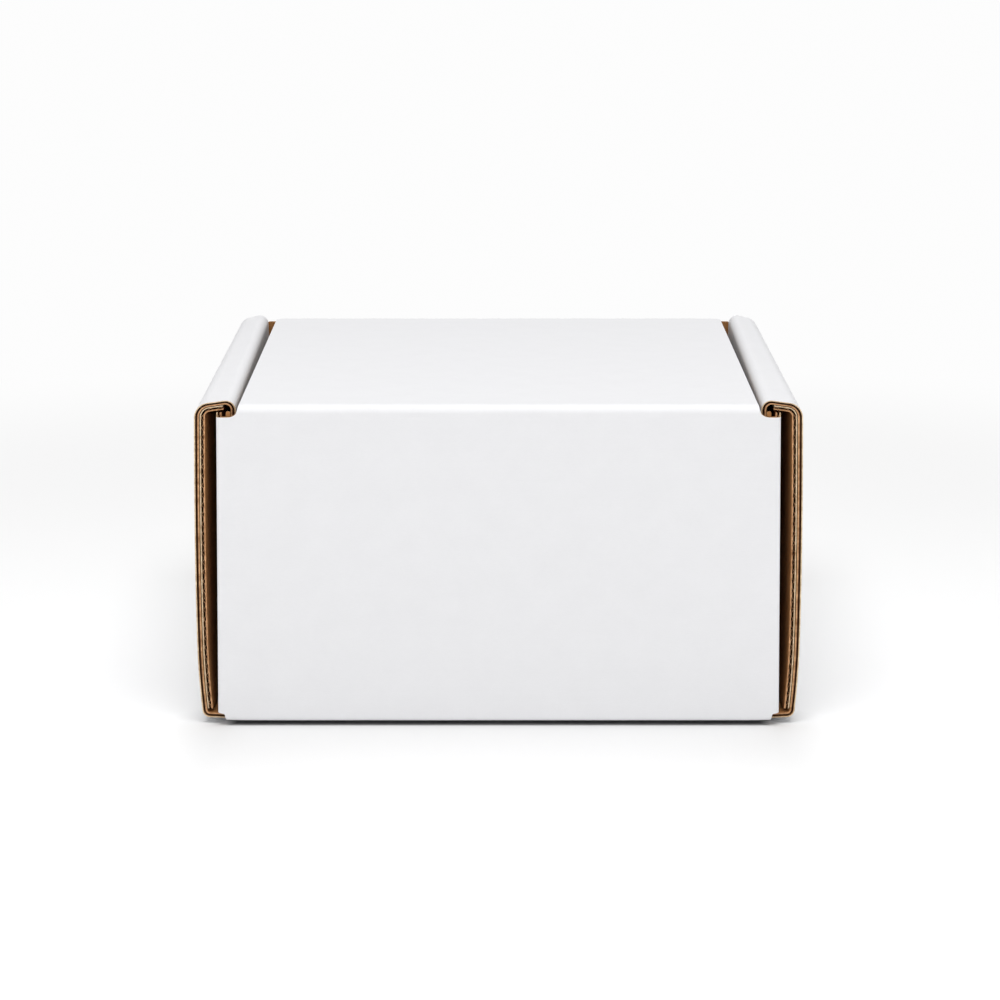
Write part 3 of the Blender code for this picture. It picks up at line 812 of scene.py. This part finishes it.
def flute_sheet(name, cells, flute, flute_edge):
    """The fluted paper of a blank, still unfolded. Its cut edges are marked for the flutes' tree."""
    flat = layer(cells, (BOARD - MEDIUM) / 2, (BOARD + MEDIUM) / 2, (0, 0, 1))
    sheet = plain_mesh(name, flat, (flute, flute_edge))
    cut = sheet.data.attributes.new("cut", "BOOLEAN", "FACE")
    cut.data.foreach_set("value", [face.material_index == 1 for face in sheet.data.polygons])
    return run_flutes(sheet, bpy.data.node_groups["flutes"], flute, flute_edge)


def board_layers(name, loops, rows, columns, placed, papers, kraft_loops=None):
    """The two liners and the flutes of a blank, folded. The kraft liner may have its own outline."""
    white, kraft, cream_edge, kraft_edge, flute, flute_edge = papers
    cells = cut_cells(loops, rows, columns)
    sheet = layer(cells, BOARD - LINER, BOARD, (0, 1, 2))
    outer = plain_mesh(name + "_outer_liner", sheet, (white, kraft, cream_edge))
    if kraft_loops:
        cells = cut_cells(kraft_loops, rows, columns)
    sheet = layer(cells, 0, LINER, (0, 0, 1))
    inner = plain_mesh(name + "_inner_liner", sheet, (kraft, kraft_edge))
    flutes = flute_sheet(name + "_flutes", flute_cells(loops, rows, columns), flute, flute_edge)
    return [fold_up(piece, placed) for piece in (outer, inner, flutes)]


# Finishes

def paper_group():
    """Where paper is mottled, where its fibres lie, and how its flutes show through."""
    group = bpy.data.node_groups.new("paper", "ShaderNodeTree")
    sizes = ["Mottle Size", "Fibre Size", "Flute Pitch", "Flute Tell", "Fibre Tell"]
    add_sockets(group, "INPUT", "NodeSocketFloat", sizes)
    add_sockets(group, "OUTPUT", "NodeSocketFloat", ["Mottle", "Fibre", "Relief"])
    given = put(group, "NodeGroupInput").outputs
    blank = put(group, "ShaderNodeUVMap", uv_map="blank").outputs[0]
    mottle = put(group, "ShaderNodeTexNoise", {
        "Vector": blank,
        "Scale": sums(group, "DIVIDE", 1, given["Mottle Size"]),
        "Detail": MOTTLE_DETAIL,
        "Roughness": MOTTLE_CONTRAST,
    }).outputs[0]
    laid = put(group, "ShaderNodeMapping", {"Vector": blank, "Scale": (1 / FIBRE_STRETCH, 1, 1)})
    fibre = put(group, "ShaderNodeTexNoise", {
        "Vector": laid.outputs[0],
        "Scale": sums(group, "DIVIDE", 1, given["Fibre Size"]),
        "Detail": FIBRE_DETAIL,
        "Roughness": FIBRE_CONTRAST,
        "Distortion": FIBRE_WANDER,
    }).outputs[0]
    across = put(group, "ShaderNodeSeparateXYZ", {0: blank}).outputs["Y"]
    flutes = sums(group, "DIVIDE", across, given["Flute Pitch"])
    wave = sums(group, "COSINE", sums(group, "MULTIPLY", flutes, 2 * pi))
    relief = sums(group, "MULTIPLY", wave, given["Flute Tell"])
    relief = sums(group, "ADD", relief, sums(group, "MULTIPLY", fibre, given["Fibre Tell"]))
    put(group, "NodeGroupOutput", {"Mottle": mottle, "Fibre": fibre, "Relief": relief})
    return group


def paper(name, colour, shade, roughness, mottle, mottle_size=MOTTLE_SIZE):
    """A paper finish: its colour and darker shade, and how much of the change is mottle, not fibre."""
    material = bpy.data.materials.new(name)
    material.use_nodes = True
    tree = material.node_tree
    shader = tree.nodes["Principled BSDF"]
    shader.inputs["Specular IOR Level"].default_value = PAPER_GLOSS
    group = put(tree, "ShaderNodeGroup", node_tree=bpy.data.node_groups["paper"])
    sizes = {
        "Mottle Size": mottle_size,
        "Fibre Size": FIBRE_SIZE,
        "Flute Pitch": FLUTE_PITCH,
        "Flute Tell": FLUTE_TELL,
        "Fibre Tell": FIBRE_TELL,
    }
    for key, value in sizes.items():
        group.inputs[key].default_value = value
    tones = group.outputs
    share = put(tree, "ShaderNodeMix", {0: 1 - mottle, 2: tones["Mottle"], 3: tones["Fibre"]})
    spread = put(tree, "ShaderNodeMapRange", {
        "Value": share.outputs[0], "From Min": TONE_LOW, "From Max": TONE_HIGH,
    })
    mixed = {0: spread.outputs[0], 6: shade, 7: colour}
    colours = put(tree, "ShaderNodeMix", mixed, data_type="RGBA")
    tree.links.new(colours.outputs[2], shader.inputs["Base Color"])
    uneven = put(tree, "ShaderNodeMapRange", {
        "Value": tones["Mottle"],
        "To Min": roughness + ROUGHNESS_SPREAD,
        "To Max": roughness - ROUGHNESS_SPREAD,
    })
    tree.links.new(uneven.outputs[0], shader.inputs["Roughness"])
    bump = put(tree, "ShaderNodeBump", {"Strength": 1, "Distance": 1, "Height": tones["Relief"]})
    tree.links.new(bump.outputs[0], shader.inputs["Normal"])
    return material


def board_papers():
    """The finishes of the liners and the fluted paper, and of their cut edges."""
    paper_group()
    return [
        paper("white_liner", WHITE, WHITE_SHADE, WHITE_ROUGHNESS, WHITE_MOTTLE),
        paper("kraft_liner", KRAFT, KRAFT_SHADE, KRAFT_ROUGHNESS, KRAFT_MOTTLE),
        paper("cream_edge", CREAM_EDGE, CREAM_SHADE, EDGE_ROUGHNESS, EDGE_MOTTLE, MOTTLE_EDGE),
        paper("kraft_edge", KRAFT_EDGE, KRAFT_EDGE_SHADE, EDGE_ROUGHNESS, EDGE_MOTTLE, MOTTLE_EDGE),
        paper("flute_paper", FLUTE_BROWN, FLUTE_SHADE, EDGE_ROUGHNESS, KRAFT_MOTTLE),
        paper("flute_edge", FLUTE_EDGE, FLUTE_BROWN, EDGE_ROUGHNESS, EDGE_MOTTLE, MOTTLE_EDGE),
    ]


# The studio

def painted_contact_shade(tree, along, past_side):
    """Painted shade on the floor around the box: darker at its foot, and furthest out before the camera.
    """
    beside = sums(tree, "MULTIPLY", sums(tree, "MAXIMUM", past_side, 0), CONTACT_SIDE)
    behind = sums(tree, "ADD", along["Y"], DEPTH / 2)
    before = sums(tree, "MULTIPLY", behind, -1)
    before = sums(tree, "MAXIMUM", before, sums(tree, "MULTIPLY", behind, CONTACT_SIDE))
    gap = put(tree, "ShaderNodeCombineXYZ", {0: beside, 1: before}).outputs[0]
    gap = put(tree, "ShaderNodeVectorMath", {0: gap}, operation="LENGTH").outputs["Value"]
    return put(tree, "ShaderNodeMapRange", {
        "Value": gap, "From Max": CONTACT_REACH, "To Min": PAINTED_CONTACT_SHADE, "To Max": 1,
    }).outputs[0]


def floor_colour(tree, place):
    """White, with a painted shade a little darker around the foot of the box, and a painted shadow dark
    under it.
    """
    along = put(tree, "ShaderNodeSeparateXYZ", {0: place}).outputs
    past_side = sums(tree, "SUBTRACT", sums(tree, "ABSOLUTE", along["X"]), UNDER_X)
    past_end = sums(tree, "SUBTRACT", sums(tree, "ABSOLUTE", along["Y"]), DEPTH / 2)
    # painted shade, darker towards the foot of the box
    near = painted_contact_shade(tree, along, past_side)
    white = put(tree, "ShaderNodeVectorMath", {0: FLOOR_WHITE, "Scale": near}, operation="SCALE")
    # painted shadow under the box, with a soft edge
    out = sums(tree, "MAXIMUM", past_side, past_end)
    out_of_painted_shadow = put(tree, "ShaderNodeMapRange", {"Value": out, "From Min": -UNDER_SOFT, "From Max": 0})
    mixed = {0: out_of_painted_shadow.outputs[0], 6: FLOOR_PAINTED_SHADOW, 7: white.outputs[0]}
    return put(tree, "ShaderNodeMix", mixed, data_type="RGBA").outputs[2]


def floor_finish():
    """White floor that takes real shadows, with a painted shade and a painted shadow around the box, and
    runs out into plain white.
    """
    material = bpy.data.materials.new("floor")
    material.use_nodes = True
    tree = material.node_tree
    shader = tree.nodes["Principled BSDF"]
    shader.inputs["Roughness"].default_value = 1
    shader.inputs["Specular IOR Level"].default_value = 0
    place = put(tree, "ShaderNodeTexCoord").outputs["Object"]
    tree.links.new(floor_colour(tree, place), shader.inputs["Base Color"])
    reach = put(tree, "ShaderNodeVectorMath", {0: place}, operation="LENGTH").outputs["Value"]
    fade = {"Value": reach, "From Min": FLOOR_NEAR, "From Max": FLOOR_FAR}
    away = put(tree, "ShaderNodeMapRange", fade, interpolation_type="SMOOTHSTEP").outputs[0]
    seen = put(tree, "ShaderNodeLightPath").outputs["Is Camera Ray"]
    share = sums(tree, "MULTIPLY", away, seen)
    plain = put(tree, "ShaderNodeEmission", {"Color": BACKDROP, "Strength": 1}).outputs[0]
    mixed = put(tree, "ShaderNodeMixShader", {0: share, 1: shader.outputs[0], 2: plain}).outputs[0]
    tree.links.new(mixed, tree.nodes["Material Output"].inputs[0])
    return material


def sky():
    """Light from all around, strongest from above. The camera sees it as a plain white backdrop."""
    world = bpy.data.worlds.new("studio")
    world.use_nodes = True
    bpy.context.scene.world = world
    tree = world.node_tree
    light = tree.nodes["Background"]
    light.inputs["Color"].default_value = (1, 1, 1, 1)
    way = put(tree, "ShaderNodeTexCoord").outputs["Generated"]
    up = put(tree, "ShaderNodeSeparateXYZ", {0: way}).outputs["Z"]
    level = put(tree, "ShaderNodeMapRange", {"Value": up, "To Min": SKY_EDGE, "To Max": SKY_TOP})
    tree.links.new(level.outputs[0], light.inputs["Strength"])
    plain = put(tree, "ShaderNodeBackground", {"Color": BACKDROP, "Strength": 1}).outputs[0]
    seen = put(tree, "ShaderNodeLightPath").outputs["Is Camera Ray"]
    mixed = put(tree, "ShaderNodeMixShader", {0: seen, 1: light.outputs[0], 2: plain}).outputs[0]
    tree.links.new(mixed, tree.nodes["World Output"].inputs[0])


def softbox(name, place, size, power):
    """A soft lamp that faces the middle of the box."""
    lamp = bpy.data.lights.new(name, "AREA")
    lamp.shape = "RECTANGLE"
    lamp.size, lamp.size_y = size
    lamp.energy = power
    holder = bpy.data.objects.new(name, lamp)
    holder.location = place
    facing = Vector((0, 0, HEIGHT / 2)) - holder.location
    holder.rotation_euler = facing.to_track_quat("-Z", "Y").to_euler()
    bpy.context.scene.collection.objects.link(holder)


def place_camera():
    """The camera at the photograph's viewing angle."""
    camera = bpy.data.objects.new("camera", bpy.data.cameras.new("camera"))
    camera.location = (0, -CAMERA_BACK, CAMERA_UP + SAG)
    camera.rotation_euler = (radians(90 - CAMERA_DIP), 0, 0)
    camera.data.lens = CAMERA_LENS
    camera.data.sensor_width = CAMERA_SENSOR
    camera.data.shift_x = CAMERA_SHIFT_X
    camera.data.shift_y = CAMERA_SHIFT_Y
    bpy.context.scene.collection.objects.link(camera)
    bpy.context.scene.camera = camera


def studio():
    """The floor, the light and the camera."""
    bpy.context.scene.view_settings.view_transform = "Standard"
    bpy.ops.mesh.primitive_plane_add(size=FLOOR_SIZE)
    floor = bpy.context.object
    floor.name = "floor"
    floor.data.materials.append(floor_finish())
    sky()
    softbox("top_softbox", TOP_LAMP_PLACE, TOP_LAMP_SIZE, TOP_LAMP_WATTS)
    for name, side in (("left_softbox", -1), ("right_softbox", 1)):
        place = (side * SIDE_LAMP_OUT, -SIDE_LAMP_BACK, SIDE_LAMP_UP)
        softbox(name, place, SIDE_LAMP_SIZE, SIDE_LAMP_WATTS)
    place_camera()


# The dressed part

def dress_tray(papers):
    """The tray's board stands for its solid. Only its kraft liner has the ears beside the hinge."""
    sides = side_panels() + front_end()
    loops = loops_of(wall_outline(False) + sides, lock_slots())
    ear_loops = loops_of(wall_outline(True) + sides, lock_slots())
    tray = board_layers("tray", loops, tray_rows(), tray_columns, tray_place, papers, ear_loops)
    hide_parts("tray")
    for piece in tray:
        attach(piece, "tray")


def dress_lid(papers):
    """The lid's board stands for its solid, from the hinge's fold on."""
    loops = loops_of(lid_outline())
    lid = board_layers("lid", loops, lid_rows(), lid_columns, lid_place, papers)
    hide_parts("lid")
    for piece in lid:
        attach(piece, "lid")


def dress_hinge(papers):
    """The hinge's fold, which joins both."""
    rows = evenly(BAND_FIRST, BAND_LAST, ceil((BAND_LAST - BAND_FIRST) / BAND_STEP))
    loops = loops_of(band_outline(rows))
    band = board_layers("hinge", loops, rows, lid_columns, lid_place, papers)
    for piece in band:
        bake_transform(piece)


def dress():
    """Every piece of the box, each with its papers."""
    papers = board_papers()
    flute_tree()
    dress_tray(papers)
    dress_lid(papers)
    dress_hinge(papers)


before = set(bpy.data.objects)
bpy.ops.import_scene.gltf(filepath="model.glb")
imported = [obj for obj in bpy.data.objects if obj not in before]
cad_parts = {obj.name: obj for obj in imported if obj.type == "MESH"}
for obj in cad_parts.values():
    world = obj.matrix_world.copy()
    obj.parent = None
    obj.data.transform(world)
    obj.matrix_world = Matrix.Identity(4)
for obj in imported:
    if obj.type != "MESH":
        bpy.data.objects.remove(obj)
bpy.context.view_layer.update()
dress()
studio()
